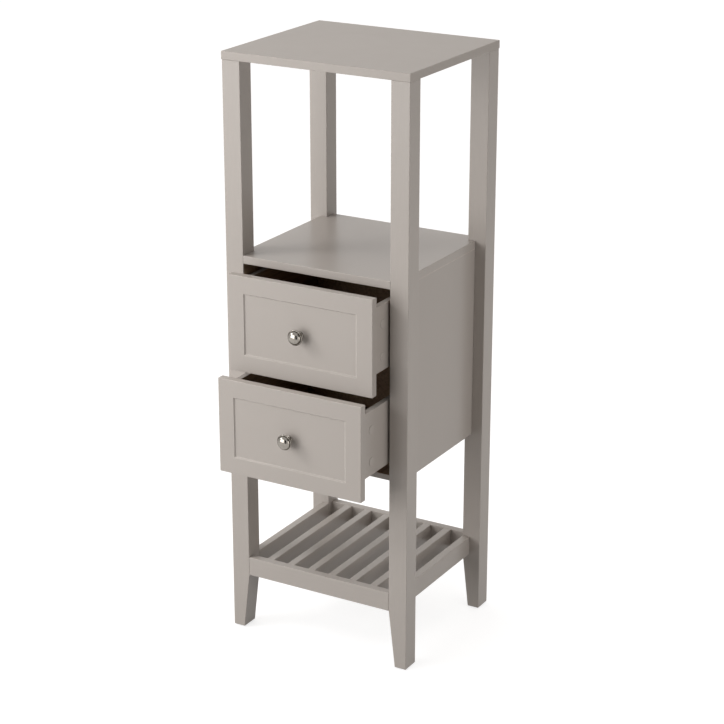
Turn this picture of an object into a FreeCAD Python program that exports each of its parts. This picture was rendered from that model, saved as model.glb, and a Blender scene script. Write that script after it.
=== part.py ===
import FreeCAD, Part
import os
import Sketcher

# Tall free-standing bathroom cabinet of painted boards. Four full-height legs carry a top board, a case
# with two inset drawers on concealed runners, and a slatted bottom shelf.
# Lengths are millimetres. +Z is up, -Y is the front, and the origin is on the floor midway between the legs.
# The drawers stand partly open: upper_opening and lower_opening say how far.

SIZES = {
    # whole cabinet
    "width": 400,
    "depth": 350,
    "height": 1185,
    "leg_size": 39,
    "foot_width": 25,
    "board_thickness": 16,
    "edge_ease": 1.2,
    "top_overhang": 1,
    # foot glides
    "glide_radius": 9,
    "glide_height": 2.5,
    # drawer case
    "shelf_top": 794,
    "notch_gap": 0.5,
    "back_inset": 10,
    "back_thickness": 12,
    "floor_thickness": 12,
    "floor_setback": 4,
    # slatted bottom shelf
    "rail_bottom": 121,
    "rail_height": 39,
    "slat_height": 36,
    "slat_end_gap": 34.25,
    # drawers
    "front_gap": 3.5,
    "front_height": 192,
    "front_thickness": 16,
    "frame_margin": 33.75,
    "panel_sink": 2.5,
    "panel_bevel": 2.5,
    "side_clearance": 4.5,
    "side_thickness": 12,
    "side_lift": 42,
    "side_drop": 20,
    "rear_clearance": 12,
    "bottom_thickness": 5,
    "bottom_lift": 12,
    "groove_depth": 5,
    "upper_opening": 59,
    "lower_opening": 100.5,
    # knobs and their screws
    "knob_radius": 15.5,
    "knob_length": 28,
    "knob_dome_radius": 14,
    "knob_dome_height": 8,
    "knob_rim": 3,
    "knob_flare": 2.5,
    "knob_shoulder_radius": 9,
    "knob_waist_radius": 6,
    "knob_base_radius": 7.5,
    "knob_base": 2,
    "knob_screw_radius": 2,
    "knob_screw_grip": 9,
    "knob_screw_head_radius": 4,
    "knob_screw_head": 2.5,
    # runners
    "runner_sheet": 1.5,
    "runner_start": 7,
    "runner_short": 20,
    "web_drop": 2.5,
    "flange_height": 22,
    "lip_height": 8.5,
    "member_start": 2,
    "member_depth": 10,
    "member_play": 3,
    "carriage_width": 20,
    "carriage_length": 70,
    "carriage_play": 0.3,
    # dowels, cams and screws
    "fixing_play": 0.1,
    "bore_spare": 1,
    "dowel_radius": 4,
    "dowel_length": 30,
    "dowel_seat": 8,
    "dowel_inset": 40,
    "dowel_step": 18,
    "back_dowel_inset": 18,
    "cam_radius": 7.5,
    "cam_skin": 3,
    "cam_reach": 24,
    "cam_inset": 80,
    "drawer_cam_low": 28,
    "drawer_cam_top": 38,
    "bolt_radius": 3.5,
    "bolt_thread_radius": 2.5,
    "bolt_thread": 10,
    "cover_radius": 8.5,
    "cover_height": 1,
    "screw_radius": 1.75,
    "screw_length": 11,
    "screw_head_radius": 3.5,
    "screw_head": 2,
    "screw_inset": 30,
    "screw_step": 50,
}
SLATS = 6
CUT_PAST = "1"  # how far a cutting block runs past the face that it opens
RING_RADIUS = 100  # radius of the ring of edges that every outline starts as
STEM_RADIUS = 6  # radius and step of the rough stem that the knob's profile starts as
STEM_STEP = 2

# Planes that several pieces share, as expressions on the sheet.
BOARD = "sizes.board_thickness"
HALF_WIDTH = "(sizes.width / 2)"
HALF_DEPTH = "(sizes.depth / 2)"
INNER_X = "(sizes.width / 2 - sizes.leg_size)"
INNER_Y = "(sizes.depth / 2 - sizes.leg_size)"
OUTER_X = f"({INNER_X} + {BOARD})"
LEG_TOP = f"(sizes.height - {BOARD})"
BACK_Y = "(sizes.depth / 2 - sizes.back_inset)"
BACK_FACE = f"({BACK_Y} - sizes.back_thickness)"
SHELF_UNDER = f"(sizes.shelf_top - {BOARD})"
CASE_UNDER = f"({SHELF_UNDER} - 2 * (sizes.front_gap + sizes.front_height))"
CASE_HEIGHT = "(2 * (sizes.front_gap + sizes.front_height))"
PANEL_MID = f"({INNER_X} + {BOARD} / 2)"
PANEL_LEFT = {"left": f"-{OUTER_X}", "right": INNER_X}
FRONT_BACK = "(sizes.front_thickness - sizes.depth / 2)"
SIDE_OUT = f"({INNER_X} - sizes.side_clearance)"
SIDE_IN = f"({SIDE_OUT} - sizes.side_thickness)"
SIDE_HEIGHT = "(sizes.front_height - sizes.side_lift - sizes.side_drop)"
BOX_LENGTH = f"({BACK_FACE} - {FRONT_BACK} - sizes.rear_clearance)"
RUNNER_LENGTH = f"({BOX_LENGTH} - sizes.runner_short)"
# Across a runner, measured inwards from the side panel's inner face.
MEMBER_START = "(sizes.side_clearance + sizes.side_thickness)"
CARRIAGE_START = f"({MEMBER_START} + sizes.runner_sheet + sizes.carriage_play)"
LIP_START = f"({CARRIAGE_START} + sizes.carriage_width + sizes.carriage_play)"
WEB_END = f"({LIP_START} + sizes.runner_sheet)"
MEMBER_END = f"({WEB_END} + sizes.member_play + sizes.runner_sheet)"

SIGNS = {"left": "-", "right": "+"}
OUTWARDS = {"left": "-x", "right": "+x"}
INWARDS = {"left": "+x", "right": "-x"}
TURNS = {
    "+x": (FreeCAD.Vector(0, 1, 0), 90),
    "-x": (FreeCAD.Vector(0, 1, 0), -90),
    "+y": (FreeCAD.Vector(1, 0, 0), -90),
    "-y": (FreeCAD.Vector(1, 0, 0), 90),
    "+z": (FreeCAD.Vector(0, 0, 1), 0),
    "-z": (FreeCAD.Vector(1, 0, 0), 180),
}

doc = FreeCAD.newDocument("bathroom_cabinet")
sheet = doc.addObject("Spreadsheet::Sheet", "sizes")
for row, (name, value) in enumerate(SIZES.items(), start=1):
    sheet.set(f"A{row}", name)
    sheet.set(f"B{row}", str(value))
    sheet.setAlias(f"B{row}", name)
doc.recompute()

blanks = {}  # node name to its uncut solid
cuts = {}  # node name to the shapes that are cut from it
groups = {}  # node name to the like solids that share it


def place(item, at):
    for axis, expression in zip("xyz", at):
        item.setExpression(f"Placement.Base.{axis}", expression)


def ahead(at, heading, distance):
    """The point at a distance from another along +x, -x, +y, -y, +z or -z."""
    moved = list(at)
    axis = "xyz".index(heading[1])
    moved[axis] = f"{at[axis]} {heading[0]} ({distance})"
    return tuple(moved)


def opposite(heading):
    return ("-" if heading[0] == "+" else "+") + heading[1]


def block(name, size, at):
    item = doc.addObject("Part::Box", name)
    for side, expression in zip(("Length", "Width", "Height"), size):
        item.setExpression(side, expression)
    place(item, at)
    return item


def rod(name, radius, length, at, heading):
    """A cylinder that starts at a point and runs along a heading."""
    item = doc.addObject("Part::Cylinder", name)
    item.Placement = FreeCAD.Placement(FreeCAD.Vector(), FreeCAD.Rotation(*TURNS[heading]))
    item.setExpression("Radius", radius)
    item.setExpression("Height", length)
    place(item, at)
    return item


def fuse(name, first, second):
    item = doc.addObject("Part::Fuse", name)
    item.Base = first
    item.Tool = second
    return item


def ease(body, feature, edges, all_edges=False):
    """Rounds the sharp edges of a painted board."""
    rounding = body.newObject("PartDesign::Fillet", f"{feature.Name}_easing")
    rounding.Base = (feature, edges)
    rounding.UseAllEdges = all_edges
    rounding.setExpression("Radius", "sizes.edge_ease")


def keep(label, item):
    blanks[label] = item
    cuts[label] = []


def edge_names(shape, wanted):
    return [f"Edge{index}" for index, edge in enumerate(shape.Edges, start=1) if wanted(edge.BoundBox)]


def board(label, size, at, filled_top=False):
    """A board with its lowest corner at a point, eased all round but for a filled joint on top."""
    body = doc.addObject("PartDesign::Body", f"{label}_blank")
    sawn = body.newObject("PartDesign::AdditiveBox", f"{label}_sawn")
    for side, expression in zip(("Length", "Width", "Height"), size):
        sawn.setExpression(side, expression)
    doc.recompute()
    middle = sawn.Shape.BoundBox.Center.z
    ease(body, sawn, edge_names(sawn.Shape, lambda edge: not filled_top or edge.ZMin < middle))
    place(body, at)
    keep(label, body)


def own_plane(body, role):
    return next(item for item in body.Origin.OriginFeatures if item.Role == role)


def drive(sketch, kind, edge, end, start_value, expression):
    """Ties one end of an edge to the sketch's origin by an expression."""
    index = sketch.addConstraint(Sketcher.Constraint(kind, -1, 1, edge, end, start_value))
    sketch.setExpression(f"Constraints[{index}]", expression)


def outlined(label, plane, points, length, at):
    """A body padded half each way from a closed outline of straight edges on its own plane."""
    body = doc.addObject("PartDesign::Body", f"{label}_blank")
    sketch = body.newObject("Sketcher::SketchObject", f"{label}_outline")
    sketch.AttachmentSupport = [(own_plane(body, plane), "")]
    sketch.MapMode = "FlatFace"
    count = len(points)
    # The edges start as a ring round the origin and are then driven to their places.
    ring = [FreeCAD.Vector(RING_RADIUS, 0, 0)]
    step = FreeCAD.Rotation(FreeCAD.Vector(0, 0, 1), 360 / count)
    for _ in range(count - 1):
        ring.append(step.multVec(ring[-1]))
    for index in range(count):
        sketch.addGeometry(Part.LineSegment(ring[index], ring[(index + 1) % count]), False)
    for index in range(count):
        sketch.addConstraint(Sketcher.Constraint("Coincident", index, 2, (index + 1) % count, 1))
    for index, (across, up) in enumerate(points):
        drive(sketch, "DistanceX", index, 1, ring[index].x, across)
        drive(sketch, "DistanceY", index, 1, ring[index].y, up)
    pad = body.newObject("PartDesign::Pad", f"{label}_pad")
    pad.Profile = sketch
    pad.SideType = "Symmetric"
    pad.setExpression("Length", length)
    place(body, at)
    doc.recompute()
    keep(label, body)
    return body, pad


def dowel(group, name, at, heading, seat, end):
    """A glued dowel: seated shallow in one board's face, deep in the end of the board ahead."""
    start = ahead(at, opposite(heading), "sizes.dowel_seat")
    groups.setdefault(group, []).append(rod(name, "sizes.dowel_radius", "sizes.dowel_length", start, heading))
    bore = rod(
        f"{name}_bore",
        "sizes.dowel_radius + sizes.fixing_play",
        "sizes.dowel_length + sizes.bore_spare",
        start,
        heading,
    )
    cuts[seat].append(bore)
    cuts[end].append(bore)


def cam_joint(group, name, at, heading, seat, panel, inward, thickness):
    """A bolt screwed into one board, drawn up by a cam lock that is let into the face of the board ahead."""
    thread = rod(
        f"{name}_thread", "sizes.bolt_thread_radius", "sizes.bolt_thread", at, opposite(heading)
    )
    shank = rod(f"{name}_shank", "sizes.bolt_radius", "sizes.cam_reach", at, heading)
    groups.setdefault(f"{group}_cam_bolts", []).append(fuse(f"{name}_bolt", thread, shank))
    cuts[seat].append(
        rod(
            f"{name}_thread_bore",
            "sizes.bolt_thread_radius + sizes.fixing_play",
            "sizes.bolt_thread + sizes.bore_spare",
            at,
            opposite(heading),
        )
    )
    shank_bore = rod(
        f"{name}_shank_bore",
        "sizes.bolt_radius + sizes.fixing_play",
        "sizes.cam_reach + sizes.bore_spare",
        at,
        heading,
    )
    face = ahead(ahead(at, heading, "sizes.cam_reach"), opposite(inward), f"{thickness} / 2")
    depth = f"{thickness} - sizes.cam_skin"
    disc = rod(f"{name}_disc", "sizes.cam_radius", depth, face, inward)
    lock = doc.addObject("Part::Cut", f"{name}_lock")
    lock.Base = disc
    lock.Tool = shank_bore
    groups.setdefault(f"{group}_cam_locks", []).append(lock)
    cuts[panel].append(shank_bore)
    cuts[panel].append(
        rod(f"{name}_disc_bore", "sizes.cam_radius + sizes.fixing_play", depth, face, inward)
    )
    return face


def screw(group, name, under_head, heading, boards):
    """A pan-head screw: its head lies behind a point and its shank runs ahead of it."""
    head = rod(f"{name}_head", "sizes.screw_head_radius", "sizes.screw_head", under_head, opposite(heading))
    shank = rod(f"{name}_shank", "sizes.screw_radius", "sizes.screw_length", under_head, heading)
    groups.setdefault(group, []).append(fuse(name, head, shank))
    bore = rod(
        f"{name}_bore",
        "sizes.screw_radius + sizes.fixing_play",
        "sizes.screw_length + sizes.bore_spare",
        under_head,
        heading,
    )
    for label in boards:
        cuts[label].append(bore)


# Legs: square posts from the glides to the top board. Below the rails the inner side tapers to the foot.
for side, sign in SIGNS.items():
    for end, end_sign in (("front", "-"), ("rear", "+")):
        outlined(
            f"leg_{end}_{side}",
            "XZ_Plane",
            [
                (f"{sign}{HALF_WIDTH}", "sizes.glide_height"),
                (f"{sign}({HALF_WIDTH} - sizes.foot_width)", "sizes.glide_height"),
                (f"{sign}{INNER_X}", "sizes.rail_bottom"),
                (f"{sign}{INNER_X}", LEG_TOP),
                (f"{sign}{HALF_WIDTH}", LEG_TOP),
            ],
            "sizes.leg_size",
            ("0", f"{end_sign}({HALF_DEPTH} - sizes.leg_size / 2)", "0"),
        )
        leg = blanks[f"leg_{end}_{side}"]
        ease(leg, leg.Tip, ["Edge1"], all_edges=True)
        glide_at = (
            f"{sign}({HALF_WIDTH} - sizes.foot_width / 2)",
            f"{end_sign}({HALF_DEPTH} - sizes.leg_size / 2)",
            "0",
        )
        glide = rod(f"glide_{end}_{side}", "sizes.glide_radius", "sizes.glide_height", glide_at, "+z")
        groups.setdefault("foot_glides", []).append(glide)

# Top board: a little larger than the legs' outline.
board(
    "top_board",
    ("sizes.width + 2 * sizes.top_overhang", "sizes.depth + 2 * sizes.top_overhang", BOARD),
    (f"-{HALF_WIDTH} - sizes.top_overhang", f"-{HALF_DEPTH} - sizes.top_overhang", LEG_TOP),
)

# Middle shelf, the lid of the drawer case: notched round the legs, flush with their front faces.
NOTCH_X = f"({INNER_X} - sizes.notch_gap)"
NOTCH_Y = f"({INNER_Y} - sizes.notch_gap)"
shelf, shelf_pad = outlined(
    "middle_shelf",
    "XY_Plane",
    [
        (f"-{NOTCH_X}", f"-{HALF_DEPTH}"),
        (NOTCH_X, f"-{HALF_DEPTH}"),
        (NOTCH_X, f"-{NOTCH_Y}"),
        (OUTER_X, f"-{NOTCH_Y}"),
        (OUTER_X, NOTCH_Y),
        (NOTCH_X, NOTCH_Y),
        (NOTCH_X, BACK_Y),
        (f"-{NOTCH_X}", BACK_Y),
        (f"-{NOTCH_X}", NOTCH_Y),
        (f"-{OUTER_X}", NOTCH_Y),
        (f"-{OUTER_X}", f"-{NOTCH_Y}"),
        (f"-{NOTCH_X}", f"-{NOTCH_Y}"),
    ],
    BOARD,
    ("0", "0", f"{SHELF_UNDER} + {BOARD} / 2"),
)
# Only its four long sides are eased: they are longer than any side of a notch. The lower edges over the side
# panels stay sharp, because that joint is filled and painted over.
long_side = max(edge.Length for edge in shelf_pad.Shape.Edges) / 2
shelf_middle = shelf_pad.Shape.BoundBox.Center.z
ease(
    shelf,
    shelf_pad,
    edge_names(
        shelf_pad.Shape,
        lambda edge: edge.XLength > long_side or (edge.YLength > long_side and edge.ZMin > shelf_middle),
    ),
)

# Case: side panels between the legs, a back panel between the rear legs and a floor between the panels.
for side in SIGNS:
    board(
        f"side_panel_{side}",
        (BOARD, f"2 * {INNER_Y}", CASE_HEIGHT),
        (PANEL_LEFT[side], f"-{INNER_Y}", CASE_UNDER),
        filled_top=True,
    )
board(
    "back_panel",
    (f"2 * {INNER_X}", "sizes.back_thickness", CASE_HEIGHT),
    (f"-{INNER_X}", BACK_FACE, CASE_UNDER),
)
FLOOR_FRONT = f"({FRONT_BACK} + sizes.floor_setback)"
board(
    "case_floor",
    (f"2 * {INNER_X}", f"{BACK_FACE} - {FLOOR_FRONT}", "sizes.floor_thickness"),
    (f"-{INNER_X}", FLOOR_FRONT, CASE_UNDER),
)

# Slatted bottom shelf: rails between the legs, and slats on edge between the front and rear rails.
RAIL_MID = "(sizes.rail_bottom + sizes.rail_height / 2)"
RAIL_TOP = "(sizes.rail_bottom + sizes.rail_height)"
for end, face in (("front", f"-{HALF_DEPTH}"), ("rear", f"{BACK_Y} - {BOARD}")):
    board(
        f"shelf_rail_{end}",
        (f"2 * {INNER_X}", BOARD, "sizes.rail_height"),
        (f"-{INNER_X}", face, "sizes.rail_bottom"),
    )
for side in SIGNS:
    board(
        f"shelf_rail_{side}",
        (BOARD, f"2 * {INNER_Y}", "sizes.rail_height"),
        (PANEL_LEFT[side], f"-{INNER_Y}", "sizes.rail_bottom"),
    )
SLAT_FRONT = f"({BOARD} - {HALF_DEPTH})"
SLAT_REAR = f"({BACK_Y} - {BOARD})"
RAIL_Y = {"front": f"{SLAT_FRONT} - {BOARD} / 2", "rear": f"{SLAT_REAR} + {BOARD} / 2"}
SLAT_MID = f"({RAIL_TOP} - sizes.slat_height / 2)"
SLAT_PITCH = f"((2 * ({INNER_X} - sizes.slat_end_gap) - {BOARD}) / ({SLATS} - 1))"
for index in range(SLATS):
    middle = f"({index} - ({SLATS} - 1) / 2) * {SLAT_PITCH}"
    label = f"shelf_slat_{index + 1}"
    board(
        label,
        (BOARD, f"{SLAT_REAR} - {SLAT_FRONT}", "sizes.slat_height"),
        (f"{middle} - {BOARD} / 2", SLAT_FRONT, f"{RAIL_TOP} - sizes.slat_height"),
    )
    for end, joint, heading in (("front", SLAT_FRONT, "+y"), ("rear", SLAT_REAR, "-y")):
        joint_at = (middle, joint, SLAT_MID)
        dowel("frame_dowels", f"{label}_{end}_dowel", joint_at, heading, f"shelf_rail_{end}", label)

# Hidden fixings of the frame: dowels in every joint, and cams that draw the case together.
for side, sign in SIGNS.items():
    inward = INWARDS[side]
    outward = OUTWARDS[side]
    panel = f"side_panel_{side}"
    for end, end_sign, heading in (("front", "-", "+y"), ("rear", "+", "-y")):
        leg = f"leg_{end}_{side}"
        leg_mid_x = f"{sign}({HALF_WIDTH} - sizes.leg_size / 2)"
        leg_mid_y = f"{end_sign}({HALF_DEPTH} - sizes.leg_size / 2)"
        panel_edge = (f"{sign}{PANEL_MID}", f"{end_sign}{INNER_Y}")
        for step_name, step_sign in (("low", "-"), ("high", "+")):
            step = f"{step_sign} sizes.dowel_step / 2"
            name = f"{leg}_{step_name}"
            top_at = (f"{leg_mid_x} {step}", leg_mid_y, LEG_TOP)
            dowel("frame_dowels", f"{name}_top_dowel", top_at, "-z", "top_board", leg)
            rail_at = (f"{sign}{INNER_X}", RAIL_Y[end], f"{RAIL_MID} {step}")
            dowel("frame_dowels", f"{name}_rail_dowel", rail_at, inward, leg, f"shelf_rail_{end}")
            side_rail_at = panel_edge + (f"{RAIL_MID} {step}",)
            dowel("frame_dowels", f"{name}_side_rail_dowel", side_rail_at, heading, leg, f"shelf_rail_{side}")
        middle_at = panel_edge + (f"{CASE_UNDER} + {CASE_HEIGHT} / 2",)
        dowel("frame_dowels", f"{leg}_panel_dowel", middle_at, heading, leg, panel)
        shelf_at = (f"{sign}{PANEL_MID}", f"{end_sign}({INNER_Y} - sizes.dowel_inset)", SHELF_UNDER)
        dowel("frame_dowels", f"{leg}_shelf_dowel", shelf_at, "-z", "middle_shelf", panel)
        floor_at = (
            f"{sign}{INNER_X}",
            f"{end_sign}({INNER_Y} - sizes.dowel_inset)",
            f"{CASE_UNDER} + sizes.floor_thickness / 2",
        )
        dowel("frame_dowels", f"{leg}_floor_dowel", floor_at, inward, panel, "case_floor")
        for level, height in (
            ("low", f"{CASE_UNDER} + sizes.cam_inset"),
            ("high", f"{SHELF_UNDER} - sizes.cam_inset"),
        ):
            joint_at = panel_edge + (height,)
            cam_joint("frame", f"{leg}_{level}_cam", joint_at, heading, leg, panel, outward, BOARD)
    for level, height in (
        ("low", f"{CASE_UNDER} + sizes.dowel_inset"),
        ("high", f"{SHELF_UNDER} - sizes.dowel_inset"),
    ):
        back_at = (f"{sign}{INNER_X}", f"{BACK_FACE} + sizes.back_thickness / 2", height)
        dowel("frame_dowels", f"back_{side}_{level}_dowel", back_at, inward, f"leg_rear_{side}", "back_panel")
    lid_at = (f"{sign}{PANEL_MID}", "0", SHELF_UNDER)
    cam_joint("frame", f"lid_{side}_cam", lid_at, "-z", "middle_shelf", panel, outward, BOARD)


def across(side, distance):
    """X at a distance inwards from a side panel's inner face."""
    return f"{SIGNS[side]}({INNER_X} - {distance})"


def cabinet_runner(drawer, side, edge):
    """Folded steel runner on the side panel: wall flange, web under the drawer and an upright lip."""
    label = f"{drawer}_cabinet_runner_{side}"
    web_top = f"({edge} - sizes.web_drop)"
    web_under = f"({web_top} - sizes.runner_sheet)"
    wall_under = f"({web_top} - sizes.flange_height)"
    lip_top = f"({web_top} + sizes.lip_height)"
    runner_front = f"({FRONT_BACK} + sizes.runner_start)"
    outlined(
        label,
        "XZ_Plane",
        [
            (across(side, "0"), wall_under),
            (across(side, "sizes.runner_sheet"), wall_under),
            (across(side, "sizes.runner_sheet"), web_under),
            (across(side, WEB_END), web_under),
            (across(side, WEB_END), lip_top),
            (across(side, LIP_START), lip_top),
            (across(side, LIP_START), web_top),
            (across(side, "0"), web_top),
        ],
        RUNNER_LENGTH,
        ("0", f"{runner_front} + {RUNNER_LENGTH} / 2", "0"),
    )
    stations = {
        "front": f"{runner_front} + sizes.screw_inset",
        "middle": f"{runner_front} + {RUNNER_LENGTH} / 2",
        "rear": f"{runner_front} + {RUNNER_LENGTH} - sizes.screw_inset",
    }
    height = f"{web_under} - (sizes.flange_height - sizes.runner_sheet) / 2"
    for station, length in stations.items():
        head_at = (across(side, "sizes.runner_sheet"), length, height)
        name = f"{label}_{station}_screw"
        screw("frame_runner_screws", name, head_at, OUTWARDS[side], (label, f"side_panel_{side}"))


def drawer_runner(drawer, side, edge, front_back):
    """Channel under the drawer bottom, screwed to the drawer side: it rides on the carriage."""
    label = f"{drawer}_drawer_runner_{side}"
    plate_top = f"({edge} + sizes.bottom_lift)"
    plate_under = f"({plate_top} - sizes.runner_sheet)"
    flange_under = f"({plate_top} - sizes.member_depth)"
    channel_front = f"({front_back} + sizes.member_start)"
    outer_in = f"({MEMBER_START} + sizes.runner_sheet)"
    inner_in = f"({MEMBER_END} - sizes.runner_sheet)"
    outlined(
        label,
        "XZ_Plane",
        [
            (across(side, MEMBER_START), flange_under),
            (across(side, outer_in), flange_under),
            (across(side, outer_in), plate_under),
            (across(side, inner_in), plate_under),
            (across(side, inner_in), flange_under),
            (across(side, MEMBER_END), flange_under),
            (across(side, MEMBER_END), plate_top),
            (across(side, MEMBER_START), plate_top),
        ],
        RUNNER_LENGTH,
        ("0", f"{channel_front} + {RUNNER_LENGTH} / 2", "0"),
    )
    height = f"{plate_under} - (sizes.member_depth - sizes.runner_sheet) / 2"
    group = f"{drawer}_drawer_runner_screws"
    for count in range(2):
        length = f"{channel_front} + sizes.screw_inset + {count} * sizes.screw_step"
        head_at = (across(side, outer_in), length, height)
        held = (label, f"{drawer}_drawer_side_{side}")
        screw(group, f"{label}_screw_{count + 1}", head_at, OUTWARDS[side], held)


def carriage(drawer, side, edge):
    """Nylon carriage between web and channel. It moves half as far as the drawer, so its middle lies
    halfway between the cabinet runner's front end and the drawer runner's rear end."""
    opening = f"sizes.{drawer}_opening"
    cabinet_start = f"({FRONT_BACK} + sizes.runner_start)"
    member_rear = f"({FRONT_BACK} + sizes.member_start + {RUNNER_LENGTH})"
    middle = f"(({cabinet_start} + {member_rear}) / 2 - {opening} / 2)"
    low = f"({edge} - sizes.web_drop + sizes.carriage_play)"
    high = f"({edge} + sizes.bottom_lift - sizes.runner_sheet - sizes.carriage_play)"
    label = f"{drawer}_carriage_{side}"
    far_side = f"({CARRIAGE_START} + sizes.carriage_width)"
    left_face = across(side, far_side) if side == "right" else across(side, CARRIAGE_START)
    board(
        label,
        ("sizes.carriage_width", "sizes.carriage_length", f"{high} - {low}"),
        (left_face, f"{middle} - sizes.carriage_length / 2", low),
    )


def knob(drawer, at):
    """Turned knob on the sunk panel: base, waisted stem, flared rim and domed head, bored for its screw."""
    label = f"{drawer}_drawer_knob"
    body = doc.addObject("PartDesign::Body", f"{label}_blank")
    sketch = body.newObject("Sketcher::SketchObject", f"{label}_profile")
    sketch.AttachmentSupport = [(own_plane(body, "XY_Plane"), "")]
    sketch.MapMode = "FlatFace"
    dome_foot = "(sizes.knob_length - sizes.knob_dome_height)"
    rim_under = f"({dome_foot} - sizes.knob_rim)"
    shoulder = f"({rim_under} - sizes.knob_flare)"
    waist = f"((sizes.knob_base + {shoulder}) / 2)"
    points = [
        ("0", "0"),
        ("sizes.knob_base_radius", "0"),
        ("sizes.knob_base_radius", "-sizes.knob_base"),
        ("sizes.knob_waist_radius", f"-{waist}"),
        ("sizes.knob_shoulder_radius", f"-{shoulder}"),
        ("sizes.knob_radius", f"-{rim_under}"),
        ("sizes.knob_radius", f"-{dome_foot}"),
        ("sizes.knob_dome_radius", f"-{dome_foot}"),
        ("0", "-sizes.knob_length"),
    ]
    # The profile starts as a rough stem with a round end and is then driven to its sizes.
    count = len(points)
    rough = [FreeCAD.Vector(STEM_RADIUS + index % 2, -STEM_STEP * index, 0) for index in range(count)]
    rough[0] = FreeCAD.Vector(0, 0, 0)
    rough[-1] = FreeCAD.Vector(0, -STEM_STEP * count, 0)
    centre = FreeCAD.Vector(0, rough[-2].y, 0)
    for index in range(count):
        if index == count - 2:
            quarter = FreeCAD.Rotation(FreeCAD.Vector(0, 0, 1), -45)
            crown = centre + quarter.multVec(rough[-2] - centre)
            sketch.addGeometry(Part.Arc(rough[-2], crown, rough[-1]), False)
        else:
            sketch.addGeometry(Part.LineSegment(rough[index], rough[(index + 1) % count]), False)
    dome = count - 2
    ends = {index: (1, 2) for index in range(count)}
    # An arc runs anticlockwise: the dome's first end is the one on the axis.
    ends[dome] = (2, 1)
    for index in range(count):
        following = (index + 1) % count
        sketch.addConstraint(
            Sketcher.Constraint("Coincident", index, ends[index][1], following, ends[following][0])
        )
    sketch.addConstraint(Sketcher.Constraint("PointOnObject", dome, 3, -2))
    for index, (radius, length) in enumerate(points):
        drive(sketch, "DistanceX", index, ends[index][0], rough[index].x, radius)
        drive(sketch, "DistanceY", index, ends[index][0], rough[index].y, length)
    turned = body.newObject("PartDesign::Revolution", f"{label}_turned")
    turned.Profile = sketch
    turned.ReferenceAxis = (sketch, ["V_Axis"])
    turned.Angle = 360
    place(body, at)
    doc.recompute()
    keep(label, body)


def sunk_panel(front, front_half, front_face, level):
    """Cutter for a front's sunk panel: its sides slope in by the bevel over the panel's depth."""
    wide_margin = f"(sizes.frame_margin - {CUT_PAST} * sizes.panel_bevel / sizes.panel_sink)"
    deep_margin = "(sizes.frame_margin + sizes.panel_bevel)"
    limits = {
        "Ymin": f"{front_face} - {CUT_PAST}",
        "Xmin": f"{wide_margin} - {front_half}",
        "Xmax": f"{front_half} - {wide_margin}",
        "Zmin": f"{level} + {wide_margin}",
        "Zmax": f"{level} + sizes.front_height - {wide_margin}",
        "Ymax": f"{front_face} + sizes.panel_sink",
        "X2min": f"{deep_margin} - {front_half}",
        "X2max": f"{front_half} - {deep_margin}",
        "Z2min": f"{level} + {deep_margin}",
        "Z2max": f"{level} + sizes.front_height - {deep_margin}",
    }
    cutter = doc.addObject("Part::Wedge", f"{front}_sunk_panel")
    for limit, expression in limits.items():
        cutter.setExpression(limit, expression)
    return cutter


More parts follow.
